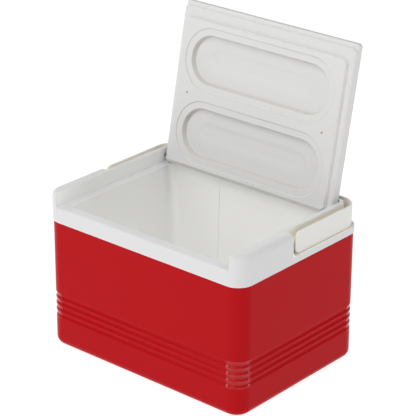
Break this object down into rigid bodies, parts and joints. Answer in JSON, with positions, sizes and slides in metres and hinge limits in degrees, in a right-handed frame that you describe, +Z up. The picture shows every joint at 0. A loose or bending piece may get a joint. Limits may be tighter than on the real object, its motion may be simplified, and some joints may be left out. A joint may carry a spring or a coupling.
{
  "type": "personal hard cooler",
  "caption": "Small hard-sided personal cooler: ribbed insulated tub, hinged lid standing open on its rear stop, and a swing-up carrying bail.",
  "frame": {"origin": "centre of the underside, on the ground plane", "axes": "+Z up, +X to the right seen from the front, -Y towards the low front edge where the lid opens"},
  "size_m": [0.342, 0.2746, 0.438],
  "materials": {
    "shell_red": "satin-gloss moulded",
    "liner_white": "satin moulded",
    "lid_white": "satin moulded",
    "bail_cream": "satin moulded",
    "foam_tan": "cut foam"
  },
  "bodies": {
    "base": {"body_shell": "shell_red", "body_foam": "foam_tan", "body_liner": "liner_white"},
    "lid": {"lid_cover": "lid_white", "lid_inner_panel": "lid_white", "lid_foam": "foam_tan"},
    "handle": {"bail_handle": "bail_cream"}
  },
  "joints": [
    {"name": "lid_hinge", "type": "hinge", "parent": "base", "child": "lid", "pos_m": [0, 0.0951, 0.2164], "axis": [1, 0, 0], "range_deg": [0, 101.4]},
    {"name": "handle_pivot", "type": "hinge", "parent": "base", "child": "handle", "pos_m": [0, -0.0008, 0.21205], "axis": [1, 0, 0], "range_deg": [0, 90]}
  ],
  "couplings": [
    {"joint": "handle_pivot", "follows": "lid_hinge", "ratio": 0.8875}
  ]
}
